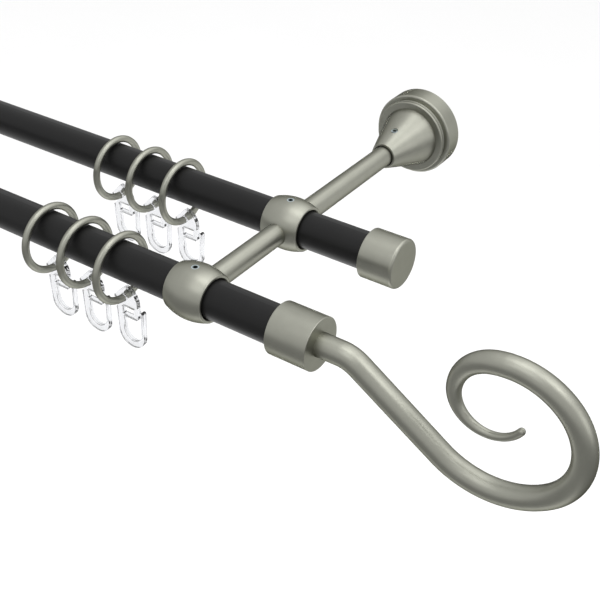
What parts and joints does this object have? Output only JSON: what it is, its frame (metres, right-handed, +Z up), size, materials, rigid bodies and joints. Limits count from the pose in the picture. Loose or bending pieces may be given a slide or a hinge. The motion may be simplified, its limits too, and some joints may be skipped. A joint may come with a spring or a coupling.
{
  "type": "double curtain pole",
  "caption": "Double curtain pole: black tubes in two-arm wall brackets, with scroll finials, plain end caps and sliding wire rings with clear tape hooks.",
  "frame": {"origin": "centre of the right bracket's seat on the wall, between its two wall screws", "axes": "+X along the poles to the right-hand finial as seen from the room, +Y into the wall, +Z up"},
  "size_m": [1.2712, 0.2381, 0.0878],
  "materials": {
    "satin_nickel": "satin",
    "black_tube": "satin",
    "clear_plastic": "clear gloss",
    "screw_steel": "bright zinc",
    "plate_steel": "zinc plated"
  },
  "bodies": {
    "frame": {"front_pole": "black_tube", "left_arm_screw": "screw_steel", "left_finial_cap": "satin_nickel", "left_finial_scroll": "satin_nickel", "left_front_arm": "satin_nickel", "left_front_holder": "satin_nickel", "left_front_holder_screw": "screw_steel", "left_rear_arm": "satin_nickel", "left_rear_cap": "satin_nickel", "left_rear_holder": "satin_nickel", "left_rear_holder_screw": "screw_steel", "left_rose": "satin_nickel", "left_rose_screw": "screw_steel", "left_wall_plate": "plate_steel", "rear_pole": "black_tube", "right_arm_screw": "screw_steel", "right_finial_cap": "satin_nickel", "right_finial_scroll": "satin_nickel", "right_front_arm": "satin_nickel", "right_front_holder": "satin_nickel", "right_front_holder_screw": "screw_steel", "right_rear_arm": "satin_nickel", "right_rear_cap": "satin_nickel", "right_rear_holder": "satin_nickel", "right_rear_holder_screw": "screw_steel", "right_rose": "satin_nickel", "right_rose_screw": "screw_steel", "right_wall_plate": "plate_steel"},
    "front_ring_1": {"front_ring_1": "satin_nickel"},
    "front_hook_1": {"front_hook_1": "clear_plastic"},
    "front_ring_2": {"front_ring_2": "satin_nickel"},
    "front_hook_2": {"front_hook_2": "clear_plastic"},
    "front_ring_3": {"front_ring_3": "satin_nickel"},
    "front_hook_3": {"front_hook_3": "clear_plastic"},
    "rear_ring_1": {"rear_ring_1": "satin_nickel"},
    "rear_hook_1": {"rear_hook_1": "clear_plastic"},
    "rear_ring_2": {"rear_ring_2": "satin_nickel"},
    "rear_hook_2": {"rear_hook_2": "clear_plastic"},
    "rear_ring_3": {"rear_ring_3": "satin_nickel"},
    "rear_hook_3": {"rear_hook_3": "clear_plastic"}
  },
  "joints": [
    {"name": "front_ring_1_slide", "type": "slide", "parent": "frame", "child": "front_ring_1", "axis": [1, 0, 0], "range_m": [-0.001, 0.036]},
    {"name": "front_hook_1_swing", "type": "hinge", "parent": "front_ring_1", "child": "front_hook_1", "pos_m": [-0.05, -0.2184, -0.0231], "axis": [0, 1, 0], "range_deg": [-6, 6]},
    {"name": "front_ring_2_slide", "type": "slide", "parent": "frame", "child": "front_ring_2", "axis": [1, 0, 0], "range_m": [-0.001, 0.001]},
    {"name": "front_hook_2_swing", "type": "hinge", "parent": "front_ring_2", "child": "front_hook_2", "pos_m": [-0.075, -0.2184, -0.0231], "axis": [0, 1, 0], "range_deg": [-6, 6]},
    {"name": "front_ring_3_slide", "type": "slide", "parent": "frame", "child": "front_ring_3", "axis": [1, 0, 0], "range_m": [-0.754, 0.001]},
    {"name": "front_hook_3_swing", "type": "hinge", "parent": "front_ring_3", "child": "front_hook_3", "pos_m": [-0.1, -0.2184, -0.0231], "axis": [0, 1, 0], "range_deg": [-6, 6]},
    {"name": "rear_ring_1_slide", "type": "slide", "parent": "frame", "child": "rear_ring_1", "axis": [1, 0, 0], "range_m": [-0.001, 0.061]},
    {"name": "rear_hook_1_swing", "type": "hinge", "parent": "rear_ring_1", "child": "rear_hook_1", "pos_m": [-0.075, -0.141, -0.0231], "axis": [0, 1, 0], "range_deg": [-6, 6]},
    {"name": "rear_ring_2_slide", "type": "slide", "parent": "frame", "child": "rear_ring_2", "axis": [1, 0, 0], "range_m": [-0.001, 0.001]},
    {"name": "rear_hook_2_swing", "type": "hinge", "parent": "rear_ring_2", "child": "rear_hook_2", "pos_m": [-0.1, -0.141, -0.0231], "axis": [0, 1, 0], "range_deg": [-6, 6]},
    {"name": "rear_ring_3_slide", "type": "slide", "parent": "frame", "child": "rear_ring_3", "axis": [1, 0, 0], "range_m": [-0.729, 0.001]},
    {"name": "rear_hook_3_swing", "type": "hinge", "parent": "rear_ring_3", "child": "rear_hook_3", "pos_m": [-0.125, -0.141, -0.0231], "axis": [0, 1, 0], "range_deg": [-6, 6]}
  ]
}
